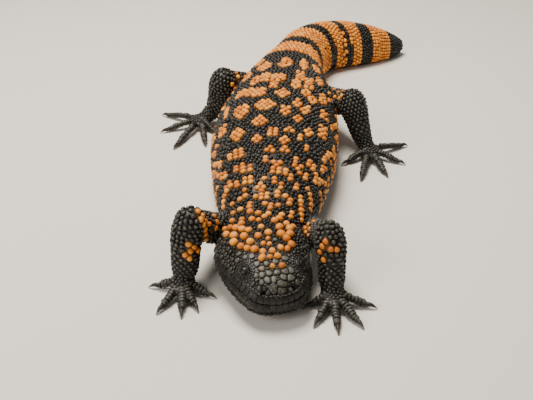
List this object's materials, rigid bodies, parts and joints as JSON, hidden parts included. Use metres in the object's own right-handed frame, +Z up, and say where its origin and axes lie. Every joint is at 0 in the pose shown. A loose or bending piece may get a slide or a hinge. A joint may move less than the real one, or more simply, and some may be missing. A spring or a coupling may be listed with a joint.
{
  "type": "life-size gila monster model",
  "caption": "Still life-size model of a gila monster, a stout beaded lizard with orange and black markings, standing low with its thick tail bent aside.",
  "frame": {"origin": "on the flat under the belly, below the middle of the trunk, on the floor it rests on", "axes": "-Y the way the animal faces, +Y towards its tail, +X its left side, +Z up"},
  "size_m": [0.2058, 0.4055, 0.0485],
  "materials": {
    "skin_banded": "beaded, satin, orange blotches on black",
    "skin_dark": "beaded, satin black",
    "eye": "wet, glossy, almost black",
    "claw": "smooth horn, dark"
  },
  "bodies": {
    "root": {"head": "skin_dark", "eye_left": "eye", "eye_right": "eye", "neck": "skin_banded", "torso_front": "skin_banded", "torso_rear": "skin_banded", "tail_base": "skin_banded", "tail_middle": "skin_banded", "tail_tip": "skin_banded", "upper_arm_right": "skin_dark", "forearm_right": "skin_dark", "hand_right": "skin_dark", "thigh_right": "skin_dark", "shank_right": "skin_dark", "foot_right": "skin_dark", "upper_arm_left": "skin_dark", "forearm_left": "skin_dark", "hand_left": "skin_dark", "thigh_left": "skin_dark", "shank_left": "skin_dark", "foot_left": "skin_dark", "claw_hand_right_1": "claw", "claw_hand_right_2": "claw", "claw_hand_right_3": "claw", "claw_hand_right_4": "claw", "claw_hand_right_5": "claw", "claw_hand_left_1": "claw", "claw_hand_left_2": "claw", "claw_hand_left_3": "claw", "claw_hand_left_4": "claw", "claw_hand_left_5": "claw", "claw_foot_right_1": "claw", "claw_foot_right_2": "claw", "claw_foot_right_3": "claw", "claw_foot_right_4": "claw", "claw_foot_right_5": "claw", "claw_foot_left_1": "claw", "claw_foot_left_2": "claw", "claw_foot_left_3": "claw", "claw_foot_left_4": "claw", "claw_foot_left_5": "claw"}
  },
  "joints": []
}
